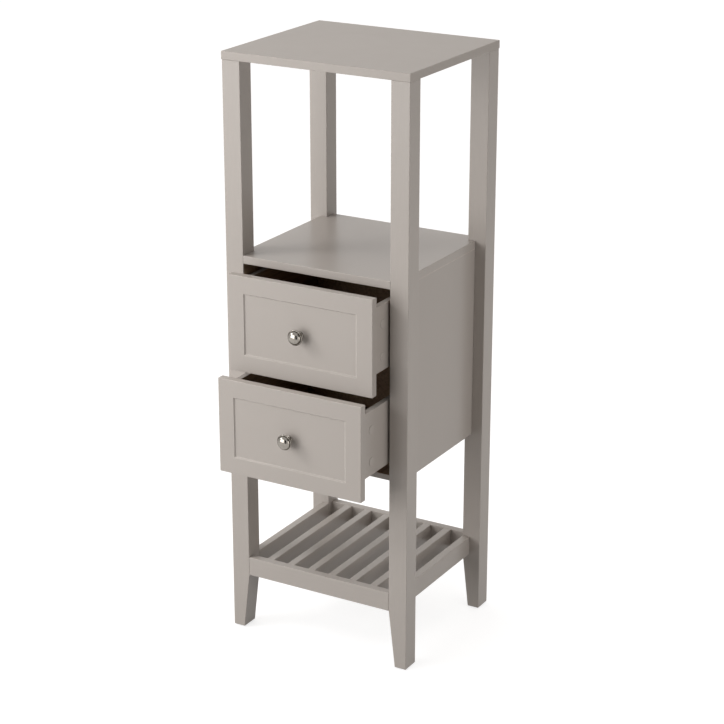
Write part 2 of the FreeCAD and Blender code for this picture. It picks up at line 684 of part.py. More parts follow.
def drawer(name, level):
    """Inset drawer: front with a sunk panel, two sides, a back and a grooved-in bottom."""
    opening = f"sizes.{name}_opening"
    front_face = f"(-{HALF_DEPTH} - {opening})"
    front_back = f"({FRONT_BACK} - {opening})"
    edge = f"({level} + sizes.side_lift)"
    bottom_under = f"({edge} + sizes.bottom_lift)"
    bottom_top = f"({bottom_under} + sizes.bottom_thickness)"
    box_rear = f"({front_back} + {BOX_LENGTH})"
    groove_height = "sizes.bottom_thickness + sizes.fixing_play"
    front = f"{name}_drawer_front"
    back = f"{name}_drawer_back"

    front_half = f"({INNER_X} - sizes.front_gap)"
    board(
        front,
        (f"2 * {front_half}", "sizes.front_thickness", "sizes.front_height"),
        (f"-{front_half}", front_face, level),
    )
    cuts[front].append(sunk_panel(front, front_half, front_face, level))
    groove_half = f"({SIDE_IN} + sizes.groove_depth)"
    cuts[front].append(
        block(
            f"{front}_groove",
            (f"2 * {groove_half}", f"sizes.groove_depth + {CUT_PAST}", groove_height),
            (f"-{groove_half}", f"{front_back} - sizes.groove_depth", bottom_under),
        )
    )

    back_height = f"({SIDE_HEIGHT} - sizes.bottom_lift - sizes.bottom_thickness)"
    board(
        back,
        (f"2 * {SIDE_IN}", "sizes.side_thickness", back_height),
        (f"-{SIDE_IN}", f"{box_rear} - sizes.side_thickness", bottom_top),
    )
    bottom_half = f"({groove_half} - sizes.fixing_play)"
    bottom_front = f"({front_back} - sizes.groove_depth + sizes.fixing_play)"
    keep(
        f"{name}_drawer_bottom",
        block(
            f"{name}_drawer_bottom_sheet",
            (f"2 * {bottom_half}", f"{box_rear} - {bottom_front}", "sizes.bottom_thickness"),
            (f"-{bottom_half}", bottom_front, bottom_under),
        ),
    )

    for side, sign in SIGNS.items():
        label = f"{name}_drawer_side_{side}"
        left_face = SIDE_IN if side == "right" else f"-{SIDE_OUT}"
        board(label, ("sizes.side_thickness", BOX_LENGTH, SIDE_HEIGHT), (left_face, front_back, edge))
        groove_left = f"{SIDE_IN} - {CUT_PAST}" if side == "right" else f"-{groove_half}"
        cuts[label].append(
            block(
                f"{label}_groove",
                (f"sizes.groove_depth + {CUT_PAST}", f"{BOX_LENGTH} + 2 * {CUT_PAST}", groove_height),
                (groove_left, f"{front_back} - {CUT_PAST}", bottom_under),
            )
        )
        side_mid = f"{sign}({SIDE_IN} + sizes.side_thickness / 2)"
        cam_heights = {
            "low": f"{edge} + sizes.drawer_cam_low",
            "high": f"{edge} + {SIDE_HEIGHT} - sizes.drawer_cam_top",
        }
        for step_name, height in cam_heights.items():
            cam = f"{label}_{step_name}_cam"
            joint_at = (side_mid, front_back, height)
            face = cam_joint(
                f"{name}_drawer", cam, joint_at, "+y", front, label, INWARDS[side], "sizes.side_thickness"
            )
            cover = rod(f"{cam}_cover", "sizes.cover_radius", "sizes.cover_height", face, OUTWARDS[side])
            groups.setdefault(f"{name}_drawer_cam_covers", []).append(cover)
        back_mid = f"{box_rear} - sizes.side_thickness / 2"
        for step_name, height in (
            ("low", f"{bottom_top} + sizes.back_dowel_inset"),
            ("high", f"{bottom_top} + {back_height} - sizes.back_dowel_inset"),
        ):
            dowel_at = (f"{sign}{SIDE_IN}", back_mid, height)
            dowel(f"{name}_drawer_dowels", f"{label}_{step_name}_dowel", dowel_at, INWARDS[side], label, back)
        cabinet_runner(name, side, edge)
        drawer_runner(name, side, edge, front_back)
        carriage(name, side, edge)

    panel_face = f"({front_face} + sizes.panel_sink)"
    knob_height = f"({level} + sizes.front_height / 2)"
    knob(name, ("0", panel_face, knob_height))
    screw_length = f"{front_back} - {panel_face} + sizes.knob_screw_grip"
    under_head = ("0", front_back, knob_height)
    thread = f"{name}_knob_screw"
    head = rod(f"{thread}_head", "sizes.knob_screw_head_radius", "sizes.knob_screw_head", under_head, "+y")
    shank = rod(f"{thread}_shank", "sizes.knob_screw_radius", screw_length, under_head, "-y")
    keep(f"{name}_drawer_knob_screw", fuse(f"{thread}_turned", head, shank))
    bore = rod(
        f"{thread}_bore",
        "sizes.knob_screw_radius + sizes.fixing_play",
        f"{screw_length} + sizes.bore_spare",
        under_head,
        "-y",
    )
    cuts[front].append(bore)
    cuts[f"{name}_drawer_knob"].append(bore)


drawer("lower", CASE_UNDER)
drawer("upper", f"({CASE_UNDER} + sizes.front_height + sizes.front_gap)")

# Each node takes its bores and grooves; like fixings on one body share a node.
nodes = {}
for label, blank in blanks.items():
    node = blank
    tools = cuts[label]
    if tools:
        tool = tools[0]
        if len(tools) > 1:
            tool = doc.addObject("Part::MultiFuse", f"{label}_bores")
            tool.Shapes = tools
        node = doc.addObject("Part::Cut", f"{label}_bored")
        node.Base = blank
        node.Tool = tool
    nodes[label] = node
for label, members in groups.items():
    node = doc.addObject("Part::Compound", f"{label}_set")
    node.Links = members
    nodes[label] = node
for drawer_name in ("upper", "lower"):
    pair = doc.addObject("Part::Compound", f"{drawer_name}_carriage_pair")
    pair.Links = [nodes.pop(f"{drawer_name}_carriage_{side}") for side in SIGNS]
    nodes[f"{drawer_name}_carriages"] = pair
for label, node in nodes.items():
    node.Label = label
doc.recompute()

for item in doc.Objects:
    if "Invalid" in item.State or "Error" in item.State:
        raise RuntimeError(f"{item.Name} did not recompute: {item.State}")
for label, node in nodes.items():
    if node.Shape.isNull() or not node.Shape.isValid() or not node.Shape.Solids:
        raise RuntimeError(f"{label} has no valid solid")

os.makedirs("parts", exist_ok=True)
for label, node in nodes.items():
    node.Shape.exportStep(f"parts/{label}.step")
print(f"{len(nodes)} nodes, {sum(len(node.Shape.Solids) for node in nodes.values())} solids")
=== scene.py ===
from math import cos, pi, radians, sin

import bpy
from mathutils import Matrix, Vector


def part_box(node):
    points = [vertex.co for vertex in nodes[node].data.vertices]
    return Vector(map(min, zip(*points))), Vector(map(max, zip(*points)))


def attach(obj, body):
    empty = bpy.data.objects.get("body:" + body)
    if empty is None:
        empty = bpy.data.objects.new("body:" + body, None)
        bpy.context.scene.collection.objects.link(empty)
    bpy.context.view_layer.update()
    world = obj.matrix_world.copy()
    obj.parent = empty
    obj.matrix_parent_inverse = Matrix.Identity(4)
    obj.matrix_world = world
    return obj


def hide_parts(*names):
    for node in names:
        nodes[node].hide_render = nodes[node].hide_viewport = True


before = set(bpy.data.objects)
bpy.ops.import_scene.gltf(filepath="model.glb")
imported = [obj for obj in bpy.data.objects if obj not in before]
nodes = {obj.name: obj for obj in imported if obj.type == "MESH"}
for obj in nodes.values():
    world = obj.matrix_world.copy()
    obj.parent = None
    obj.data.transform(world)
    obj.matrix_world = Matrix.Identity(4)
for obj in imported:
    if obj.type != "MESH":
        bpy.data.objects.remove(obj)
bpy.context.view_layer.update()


# Legs: four square posts of solid wood, planed, tapered on the inner side below the rails and sprayed
# with a satin taupe lacquer. The case's boards are dowelled and cam-locked to them.
# The lacquer is the finish of every board that follows, so its node groups are built here.
TAUPE = (173, 166, 160)
# The paler taupe of the painted highlight along sharp edges.
TAUPE_HIGHLIGHT = (222, 217, 211)
LACQUER_GLOSS = 0.3
LACQUER_SHINE = 0.25
LACQUER_BUMP = 0.03
LACQUER_RELIEF = 0.0002
TONE_DRIFT = 0.03
SPRAY_SPECKLE = 0.025
GRAIN_SPECKLE = 0.09
NOISE_MIDDLE = 0.5
ARRIS_WIDTH = 0.0025
ARRIS_SAMPLES = 6
GRAIN_STRETCH = 0.04
NO_GRAIN = (1, 1, 1)
UPRIGHT_GRAIN = (1, 1, GRAIN_STRETCH)


def finish_colour(red, green, blue):
    """A finish matched on a 0 to 255 scale, as a linear colour: the sRGB curve undone."""
    shares = [value / 255 for value in (red, green, blue)]
    return (*[s / 12.92 if s <= 0.04045 else ((s + 0.055) / 1.055) ** 2.4 for s in shares], 1)


def place_node(tree, kind, sockets=None, **options):
    """Adds a shader node, sets its options and fills its sockets with values or links."""
    made = tree.nodes.new("ShaderNode" + kind)
    for option, value in options.items():
        setattr(made, option, value)
    for socket, value in (sockets or {}).items():
        if isinstance(value, bpy.types.NodeSocket):
            tree.links.new(value, made.inputs[socket])
        else:
            made.inputs[socket].default_value = value
    return made


def start_group(name, inputs, outputs):
    """An empty node group with its named sockets, and its input and output nodes."""
    tree = bpy.data.node_groups.new(name, "ShaderNodeTree")
    for label, kind, value in inputs:
        socket = tree.interface.new_socket(label, in_out="INPUT", socket_type="NodeSocket" + kind)
        if value is not None:
            socket.default_value = value
    for label, kind in outputs:
        tree.interface.new_socket(label, in_out="OUTPUT", socket_type="NodeSocket" + kind)
    return tree, tree.nodes.new("NodeGroupInput").outputs, tree.nodes.new("NodeGroupOutput").inputs


def place_group(tree, group, sockets):
    """Places a node group in a material and fills its sockets with values or links."""
    return place_node(tree, "Group", sockets, node_tree=group).outputs


def math_node(tree, operation, first, second):
    """One sum or comparison of two values or links."""
    return place_node(tree, "Math", {0: first, 1: second}, operation=operation).outputs[0]


def spread(tree, value, low, high, new_low=0.0, new_high=1.0):
    """Maps a value from one range to another and clamps it there."""
    sockets = {"Value": value, "From Min": low, "From Max": high, "To Min": new_low, "To Max": new_high}
    return place_node(tree, "MapRange", sockets).outputs[0]


def noise(tree, vector, scale, detail=2.0, roughness=0.5):
    """Cloudy noise between 0 and 1. The scale counts its clouds to the metre."""
    sockets = {"Vector": vector, "Scale": scale, "Detail": detail, "Roughness": roughness}
    return place_node(tree, "TexNoise", sockets).outputs["Fac"]


def swing(tree, value, amount):
    """How far a noise swings from its middle, times an amount."""
    return math_node(tree, "MULTIPLY", math_node(tree, "SUBTRACT", value, NOISE_MIDDLE), amount)


def colour_mix(tree, share, first, second):
    """Mixes two colours. The node's colour sockets share their names with others, so they go by number."""
    return place_node(tree, "Mix", {0: share, 6: first, 7: second}, data_type="RGBA").outputs[2]


# Sprayed film: slow drifts of tone, a fine pigment speckle and the faint ripple that a spray coat dries to.
# Over solid wood, the speckle and the ripple are drawn out along the grain.
film, film_in, film_out = start_group(
    "sprayed_film",
    [
        ("Vector", "Vector", None),
        ("Grain", "Vector", None),
        ("Colour", "Color", None),
        ("Drift", "Float", TONE_DRIFT),
        ("Speckle", "Float", SPRAY_SPECKLE),
        ("Gloss", "Float", None),
    ],
    [("Colour", "Color"), ("Roughness", "Float"), ("Height", "Float")],
)
drift = noise(film, film_in["Vector"], scale=7.0, detail=3.0)
speckle = noise(film, film_in["Grain"], scale=900.0, detail=1.0)
ripple = noise(film, film_in["Grain"], scale=330.0, roughness=0.4)
cloud = noise(film, film_in["Vector"], scale=26.0, detail=4.0)
drift_part = swing(film, drift, film_in["Drift"])
speckle_part = swing(film, speckle, film_in["Speckle"])
level = math_node(film, "ADD", math_node(film, "ADD", drift_part, speckle_part), 1.0)
toned = place_node(film, "HueSaturation", {"Color": film_in["Colour"], "Value": level})
gloss_change = spread(film, cloud, low=0.3, high=0.7, new_low=-0.012, new_high=0.015)
film.links.new(toned.outputs[0], film_out["Colour"])
film.links.new(math_node(film, "ADD", film_in["Gloss"], gloss_change), film_out["Roughness"])
film.links.new(ripple, film_out["Height"])

# Arris highlight: a paler taupe painted along sharp edges, broken into patches. It is a painted highlight for
# the light that eased edges catch.
# Blunter edges, such as the bevel of a sunk panel, turn the normal too little to count.
arris, arris_in, arris_out = start_group(
    "painted_arris_highlight", [("Vector", "Vector", None), ("Width", "Float", None)], [("Mask", "Float")]
)
rounded = place_node(arris, "Bevel", {"Radius": arris_in["Width"]}, samples=ARRIS_SAMPLES).outputs["Normal"]
flat = place_node(arris, "NewGeometry").outputs["True Normal"]
agreement = place_node(arris, "VectorMath", {0: rounded, 1: flat}, operation="DOT_PRODUCT").outputs["Value"]
edge = spread(arris, agreement, low=0.92, high=0.86)
patches = noise(arris, arris_in["Vector"], scale=160.0, detail=3.0)
broken = spread(arris, patches, low=0.3, high=0.6, new_low=0.45)
arris.links.new(math_node(arris, "MULTIPLY", edge, broken), arris_out["Mask"])


def new_finish(name):
    """An empty material: its node tree, its shader and the piece's own coordinates."""
    material = bpy.data.materials.new(name)
    material.use_nodes = True
    tree = material.node_tree
    shader = tree.nodes["Principled BSDF"]
    return material, tree, shader, place_node(tree, "TexCoord").outputs["Object"]


def bump(tree, shader, height, strength, distance):
    """Lets a height shape the surface's shading, by up to a distance in metres."""
    sockets = {"Height": height, "Strength": strength, "Distance": distance}
    tree.links.new(place_node(tree, "Bump", sockets).outputs["Normal"], shader.inputs["Normal"])


def lacquer(name, grain=NO_GRAIN, gloss=LACQUER_GLOSS, shine=LACQUER_SHINE):
    """Satin taupe lacquer with a painted highlight along its arrises, with the grain of the wood under it."""
    material, tree, shader, coordinates = new_finish(name)
    drawn = place_node(tree, "Mapping", {"Vector": coordinates, "Scale": grain}).outputs[0]
    sockets = {"Vector": coordinates, "Grain": drawn, "Colour": finish_colour(*TAUPE), "Gloss": gloss}
    if grain != NO_GRAIN:
        sockets["Speckle"] = GRAIN_SPECKLE
    coat = place_group(tree, film, sockets)
    # Painted highlight: the paler taupe is mixed in along sharp edges.
    arris_highlight = place_group(tree, arris, {"Vector": coordinates, "Width": ARRIS_WIDTH})
    colour = colour_mix(tree, arris_highlight["Mask"], coat["Colour"], finish_colour(*TAUPE_HIGHLIGHT))
    tree.links.new(colour, shader.inputs["Base Color"])
    tree.links.new(coat["Roughness"], shader.inputs["Roughness"])
    shader.inputs["Specular IOR Level"].default_value = shine
    bump(tree, shader, coat["Height"], LACQUER_BUMP, LACQUER_RELIEF)
    return material


def dress(material, *names):
    """Gives CAD nodes their finish."""
    for name in names:
        nodes[name].data.materials.clear()
        nodes[name].data.materials.append(material)


# Inside shade: a matt brown painted on the faces inside the case and the drawers, painted shade that darkens
# the insides. The board's grain shows in it in long streaks.
SHADE_BROWN_DARK = (136, 113, 92)
SHADE_BROWN_LIGHT = (168, 143, 119)
SHADE_BROWN_GRAIN = (1, 0.05, 1)
shade_brown, shade_brown_in, shade_brown_out = start_group(
    "inside_shade_brown",
    [("Vector", "Vector", None), ("Dark", "Color", None), ("Light", "Color", None)],
    [("Colour", "Color"), ("Roughness", "Float"), ("Height", "Float")],
)
drawn_out = place_node(shade_brown, "Mapping", {"Vector": shade_brown_in["Vector"], "Scale": SHADE_BROWN_GRAIN}).outputs[0]
streak = noise(shade_brown, drawn_out, scale=210.0, detail=5.0, roughness=0.6)
streak_share = spread(shade_brown, streak, low=0.35, high=0.7)
streak_gloss = spread(shade_brown, streak, low=0.3, high=0.7, new_low=0.5, new_high=0.62)
shade_brown.links.new(colour_mix(shade_brown, streak_share, shade_brown_in["Dark"], shade_brown_in["Light"]), shade_brown_out["Colour"])
shade_brown.links.new(streak_gloss, shade_brown_out["Roughness"])
shade_brown.links.new(streak, shade_brown_out["Height"])


def inside_shade_brown(tree, coordinates):
    """The painted-shade brown's colour, roughness and height, placed in a material."""
    dark, light = finish_colour(*SHADE_BROWN_DARK), finish_colour(*SHADE_BROWN_LIGHT)
    return place_group(tree, shade_brown, {"Vector": coordinates, "Dark": dark, "Light": light})


# Within: where a point of the piece lies inside a box, given by two corners. A face with the painted shade is
# reached by setting the box a skin past it, and a side that needs no limit lies far away.
SKIN = 0.0003
FAR = 5.0
within, within_in, within_out = start_group(
    "within_box",
    [("Vector", "Vector", None), ("Low", "Vector", None), ("High", "Vector", None)],
    [("Mask", "Float")],
)
place = place_node(within, "SeparateXYZ", {0: within_in["Vector"]}).outputs
mask = None
for corner, operation in (("Low", "GREATER_THAN"), ("High", "LESS_THAN")):
    limit = place_node(within, "SeparateXYZ", {0: within_in[corner]}).outputs
    for axis in range(3):
        test = math_node(within, operation, place[axis], limit[axis])
        mask = test if mask is None else math_node(within, "MULTIPLY", mask, test)
within.links.new(mask, within_out["Mask"])


def shaded_inside(name, low=(-FAR, -FAR, -FAR), high=(FAR, FAR, FAR), grain=NO_GRAIN):
    """Taupe lacquer, with the brown painted shade where the piece lies between two corners."""
    material = lacquer(name, grain)
    tree = material.node_tree
    shader = tree.nodes["Principled BSDF"]
    coordinates = place_node(tree, "TexCoord").outputs["Object"]
    inside = place_group(tree, within, {"Vector": coordinates, "Low": low, "High": high})["Mask"]
    inside_shade = inside_shade_brown(tree, coordinates)
    for socket, other in (("Base Color", inside_shade["Colour"]), ("Roughness", inside_shade["Roughness"])):
        painted = shader.inputs[socket].links[0].from_socket
        tree.links.new(colour_mix(tree, inside, painted, other), shader.inputs[socket])
    return material


# The legs' inner faces within the case get the brown painted shade, from a setback behind their front faces.
SHADE_SETBACK = 0.003
panel_low, panel_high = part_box("side_panel_right")
inner_x = panel_low.x + SKIN
leg_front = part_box("leg_front_right")[0].y + SHADE_SETBACK
back_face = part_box("back_panel")[0].y
leg_finish = shaded_inside(
    "leg_lacquer", (-inner_x, leg_front, panel_low.z), (inner_x, back_face, panel_high.z), UPRIGHT_GRAIN
)
dress(leg_finish, "leg_front_left", "leg_front_right", "leg_rear_left", "leg_rear_right")


# Foot glides: round pads of moulded grey nylon, one glued under each leg so that it slides and stays dry.
# Each has a domed rim that keeps the leg's end grain off the wet floor.
# The profile of a turned or moulded piece lists distances along its axis and radii, in mm.
GLIDE_GREY = (120, 116, 112)
GLIDE_GLOSS = 0.5
GLIDE_PROFILE = [(0, 7.4), (0.25, 8.3), (0.7, 8.85), (1.2, 9.0), (2.1, 9.0), (2.4, 8.9), (2.5, 8.7)]
MM_IN_M = 1000
TURNED_STEPS = 64
WELD = 1e-6
SOFT_ANGLE = radians(35)
FACINGS = {"up": (0, 0, 0), "front": (pi / 2, 0, 0), "right": (0, pi / 2, 0), "left": (0, -pi / 2, 0)}


def turned(name, profile, foot, facing):
    """A turned piece: a disc drawn out ring by ring along its axis."""
    bpy.ops.object.select_all(action="DESELECT")
    bpy.ops.mesh.primitive_circle_add(
        vertices=TURNED_STEPS, radius=profile[0][1] / MM_IN_M, fill_type="NGON"
    )
    piece = bpy.context.object
    piece.name = piece.data.name = name
    bpy.ops.object.mode_set(mode="EDIT")
    bpy.ops.mesh.select_all(action="SELECT")
    for (start, radius), (end, new_radius) in zip(profile, profile[1:]):
        rise = (end - start) / MM_IN_M
        bpy.ops.mesh.extrude_region_move(TRANSFORM_OT_translate={"value": (0, 0, rise)})
        share = new_radius / radius
        middle = (0, 0, (end - profile[0][0]) / MM_IN_M)
        bpy.ops.transform.resize(value=(share, share, 1), center_override=middle)
    bpy.ops.mesh.select_all(action="SELECT")
    bpy.ops.mesh.remove_doubles(threshold=WELD)
    bpy.ops.mesh.normals_make_consistent(inside=False)
    bpy.ops.object.mode_set(mode="OBJECT")
    piece.rotation_euler = FACINGS[facing]
    piece.location = foot
    bpy.ops.object.transform_apply(location=True, rotation=True, scale=True)
    bpy.ops.object.shade_smooth_by_angle(angle=SOFT_ANGLE)
    return piece


def joined(name, pieces):
    """Several like pieces as one object, as they are one item of the parts list."""
    bpy.ops.object.select_all(action="DESELECT")
    for piece in pieces:
        piece.select_set(True)
    bpy.context.view_layer.objects.active = pieces[0]
    bpy.ops.object.join()
    pieces[0].name = pieces[0].data.name = name
    return pieces[0]


def moulded(name, colour, gloss):
    """Moulded plastic: even colour, a fine mould grain and a soft shine."""
    material, tree, shader, coordinates = new_finish(name)
    sockets = {"Vector": coordinates, "Grain": coordinates, "Colour": finish_colour(*colour), "Gloss": gloss}
    skin = place_group(tree, film, sockets)
    tree.links.new(skin["Colour"], shader.inputs["Base Color"])
    tree.links.new(skin["Roughness"], shader.inputs["Roughness"])
    bump(tree, shader, noise(tree, coordinates, scale=1500.0), strength=0.15, distance=0.0001)
    return material


glide_low, glide_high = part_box("foot_glides")
glide_radius = max(radius for _, radius in GLIDE_PROFILE) / MM_IN_M
glide_x = glide_high.x - glide_radius
glide_y = glide_high.y - glide_radius
glides = []
for x in (-glide_x, glide_x):
    for y in (-glide_y, glide_y):
        glides.append(turned("glide", GLIDE_PROFILE, (x, y, glide_low.z), "up"))
glide_set = joined("moulded_glides", glides)
glide_set.data.materials.append(moulded("glide_nylon", GLIDE_GREY, GLIDE_GLOSS))
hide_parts("foot_glides")
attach(glide_set, "frame")


# Top board: a lacquered board that sits on the four leg ends on dowels, a millimetre proud all round.
# It closes the open bay above the middle shelf, and its lacquer is rubbed down duller than the rest.
TOP_GLOSS, TOP_SHINE = 0.45, 0.22
dress(lacquer("rubbed_lacquer", gloss=TOP_GLOSS, shine=TOP_SHINE), "top_board")


# Middle shelf: a lacquered board notched round the legs, which is also the lid of the drawer case.
# Its ends lie flush on the side panels, and its underside has the brown painted shade of the case.
shelf_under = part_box("middle_shelf")[0].z + SKIN
dress(shaded_inside("shelf_lacquer", high=(FAR, FAR, shelf_under)), "middle_shelf")


# Drawer case: two side panels cam-locked between the legs, a back panel and a floor, all of lacquered board.
# The side panels carry the runners, and the inner faces of the case have the brown painted shade.
side_panel_finish = shaded_inside("side_panel_lacquer", (-inner_x, -FAR, -FAR), (inner_x, FAR, FAR))
dress(side_panel_finish, "side_panel_left", "side_panel_right")
dress(shaded_inside("back_panel_lacquer", high=(FAR, back_face + SKIN, FAR)), "back_panel")
floor_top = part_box("case_floor")[1].z - SKIN
dress(shaded_inside("case_floor_lacquer", low=(-FAR, -FAR, floor_top)), "case_floor")


# Slatted shelf: four rails dowelled between the legs, and six slats on edge dowelled between the front and
# rear rails, all lacquered. Water drips through the gaps.
SLATS = 6
WIDTHWISE_GRAIN = (GRAIN_STRETCH, 1, 1)
DEPTHWISE_GRAIN = (1, GRAIN_STRETCH, 1)
dress(lacquer("cross_rail_lacquer", WIDTHWISE_GRAIN), "shelf_rail_front", "shelf_rail_rear")
slat_finish = lacquer("slat_lacquer", DEPTHWISE_GRAIN)
dress(slat_finish, "shelf_rail_left", "shelf_rail_right")
for number in range(1, SLATS + 1):
    dress(slat_finish, f"shelf_slat_{number}")


# Hidden fixings of the frame: die-cast cam locks, steel bolts and screws, and fluted beech dowels.
# They are driven into bored holes and hold the boards and runners to the legs and panels.
CAST_ZINC = (150, 151, 152)
STEEL = (188, 188, 186)
SCUFF_DEPTH = 0.00005
BEECH_DARK = (176, 132, 88)
BEECH_LIGHT = (214, 176, 132)
BEECH_GRAIN = (1, 0.2, 0.2)

# Plated metal: the cloudy spangle of a zinc coat and the fine scuffs of tumbling.
plating, plating_in, plating_out = start_group(
    "plated_metal",
    [("Vector", "Vector", None), ("Colour", "Color", None), ("Gloss", "Float", None)],
    [("Colour", "Color"), ("Roughness", "Float"), ("Height", "Float")],
)
spangle = place_node(plating, "TexVoronoi", {"Vector": plating_in["Vector"], "Scale": 260.0}).outputs["Color"]
spangle_tone = place_node(plating, "SeparateColor", {0: spangle}).outputs[0]
scuffs = noise(plating, plating_in["Vector"], scale=1100.0, detail=4.0, roughness=0.65)
plated_value = spread(plating, spangle_tone, low=0.0, high=1.0, new_low=0.9, new_high=1.06)
plated = place_node(plating, "HueSaturation", {"Color": plating_in["Colour"], "Value": plated_value})
scuffed = spread(plating, scuffs, low=0.35, high=0.7, new_low=-0.08, new_high=0.12)
plating.links.new(plated.outputs[0], plating_out["Colour"])
plating.links.new(math_node(plating, "ADD", plating_in["Gloss"], scuffed), plating_out["Roughness"])
plating.links.new(scuffs, plating_out["Height"])


def metal(name, colour, gloss, scuffing):
    """Plated or cast metal, dulled by its scuffs."""
    material, tree, shader, coordinates = new_finish(name)
    sockets = {"Vector": coordinates, "Colour": finish_colour(*colour), "Gloss": gloss}
    skin = place_group(tree, plating, sockets)
    shader.inputs["Metallic"].default_value = 1.0
    tree.links.new(skin["Colour"], shader.inputs["Base Color"])
    tree.links.new(skin["Roughness"], shader.inputs["Roughness"])
    bump(tree, shader, skin["Height"], scuffing, SCUFF_DEPTH)
    return material


def beech(name):
    """Beech rod: pale brown with short dark flecks along the grain."""
    material, tree, shader, coordinates = new_finish(name)
    rays = place_node(tree, "Mapping", {"Vector": coordinates, "Scale": BEECH_GRAIN}).outputs[0]
    fleck = noise(tree, rays, scale=900.0, detail=4.0, roughness=0.6)
    share = spread(tree, fleck, low=0.35, high=0.65)
    dullness = spread(tree, fleck, low=0.3, high=0.7, new_low=0.55, new_high=0.7)
    colour = colour_mix(tree, share, finish_colour(*BEECH_LIGHT), finish_colour(*BEECH_DARK))
    tree.links.new(colour, shader.inputs["Base Color"])
    tree.links.new(dullness, shader.inputs["Roughness"])
    bump(tree, shader, fleck, strength=0.3, distance=0.0002)
    return material


cast_zinc = metal("cast_zinc", CAST_ZINC, gloss=0.45, scuffing=0.4)
bright_steel = metal("bright_steel", STEEL, gloss=0.28, scuffing=0.2)
beech_wood = beech("beech_wood")
dress(cast_zinc, "frame_cam_locks")
dress(bright_steel, "frame_cam_bolts", "frame_runner_screws")
dress(beech_wood, "frame_dowels")


# Runners: channels folded from zinc-plated steel sheet, one screwed to each side panel of the case and one
# to each drawer side, below the drawer's bottom. A nylon carriage glides between the two at half the speed
# of the drawer.
ZINC = (176, 178, 180)
NYLON_WHITE = (222, 220, 214)
LEVELS = ("upper", "lower")
zinc_sheet = metal("zinc_sheet", ZINC, gloss=0.34, scuffing=0.15)
white_nylon = moulded("white_nylon", NYLON_WHITE, gloss=0.42)
for level_name in LEVELS:
    for hand in ("left", "right"):
        dress(zinc_sheet, f"{level_name}_cabinet_runner_{hand}", f"{level_name}_drawer_runner_{hand}")
    dress(white_nylon, f"{level_name}_carriages")


# Drawer boxes: fronts with a shallow sunk panel, sides, back and a thin bottom let into grooves.
# The faces that show are lacquered, and the inside of the box has the brown painted shade of the case.
LACQUERED_EDGE = 0.0012
# The drawer bottoms are wholly the brown painted shade.
hardboard, hardboard_tree, hardboard_shader, hardboard_place = new_finish("shade_brown_hardboard")
hardboard_skin = inside_shade_brown(hardboard_tree, hardboard_place)
hardboard_tree.links.new(hardboard_skin["Colour"], hardboard_shader.inputs["Base Color"])
hardboard_tree.links.new(hardboard_skin["Roughness"], hardboard_shader.inputs["Roughness"])
bump(hardboard_tree, hardboard_shader, hardboard_skin["Height"], strength=0.2, distance=0.0002)
side_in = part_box("upper_drawer_side_right")[0].x + SKIN
side_finish = shaded_inside("drawer_side_lacquer", (-side_in, -FAR, -FAR), (side_in, FAR, FAR))
for level_name in LEVELS:
    front_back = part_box(f"{level_name}_drawer_front")[1].y - SKIN
    front_finish = shaded_inside(
        f"{level_name}_front_lacquer", (-side_in, front_back, -FAR), (side_in, FAR, FAR)
    )
    back_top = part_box(f"{level_name}_drawer_back")[1].z - LACQUERED_EDGE
    back_finish = shaded_inside(f"{level_name}_back_lacquer", high=(FAR, FAR, back_top))
    dress(front_finish, f"{level_name}_drawer_front")
    dress(side_finish, f"{level_name}_drawer_side_left", f"{level_name}_drawer_side_right")
    dress(back_finish, f"{level_name}_drawer_back")
    dress(hardboard, f"{level_name}_drawer_bottom")


# Drawer fixings: cam locks and bolts that draw the sides to the front, dowels in the back, runner screws.
# A soft round cover of the same taupe hides each cam on the outside of the box.
COVER_PROFILE = [
    (0, 8.5), (0.45, 8.5), (0.75, 8.38), (0.93, 8.05), (1.0, 7.6), (0.96, 6.6), (0.9, 3.0), (0.88, 0.05),
]
cover_height = max(distance for distance, _ in COVER_PROFILE) / MM_IN_M
cover_radius = COVER_PROFILE[0][1] / MM_IN_M
cover_plastic = moulded("cover_plastic", TAUPE, gloss=0.42)
for level_name in LEVELS:
    dress(cast_zinc, f"{level_name}_drawer_cam_locks")
    dress(bright_steel, f"{level_name}_drawer_cam_bolts", f"{level_name}_drawer_runner_screws")
    dress(beech_wood, f"{level_name}_drawer_dowels")
    cover_low, cover_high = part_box(f"{level_name}_drawer_cam_covers")
    cover_y = (cover_low.y + cover_high.y) / 2
    seat_x = cover_high.x - cover_height
    covers = []
    for height in (cover_low.z + cover_radius, cover_high.z - cover_radius):
        covers.append(turned("cover", COVER_PROFILE, (seat_x, cover_y, height), "right"))
        covers.append(turned("cover", COVER_PROFILE, (-seat_x, cover_y, height), "left"))
    cover_set = joined(f"{level_name}_soft_covers", covers)
    cover_set.data.materials.append(cover_plastic)
    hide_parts(f"{level_name}_drawer_cam_covers")
    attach(cover_set, f"{level_name}_drawer")


# Knobs: turned brass with a polished nickel plate, a domed face inside a raised rim on a waisted neck.
# A machine screw from inside the drawer front holds each one.
NICKEL = (142, 137, 130)
NICKEL_GLOSS = 0.07
KNOB_PROFILE = [
    (0, 7.2), (0.2, 7.45), (0.6, 7.5), (1.3, 7.5), (1.7, 7.4), (2.0, 7.1), (2.3, 6.5), (3.0, 6.15),
    (4.5, 6.0), (6.5, 5.95), (8.5, 6.1), (10.5, 6.5), (12.0, 7.05), (13.2, 7.8), (14.2, 8.9), (15.0, 10.4),
    (15.6, 12.2), (16.1, 13.9), (16.5, 14.9), (16.9, 15.3), (17.4, 15.5), (18.4, 15.5), (19.0, 15.4),
    (19.4, 15.15), (19.6, 14.8), (19.6, 14.5), (19.4, 14.25), (18.9, 14.1), (18.5, 13.95), (18.5, 13.75),
    (18.9, 13.6), (19.6, 13.5),
]
DOME_FOOT, DOME_RADIUS = KNOB_PROFILE[-1]
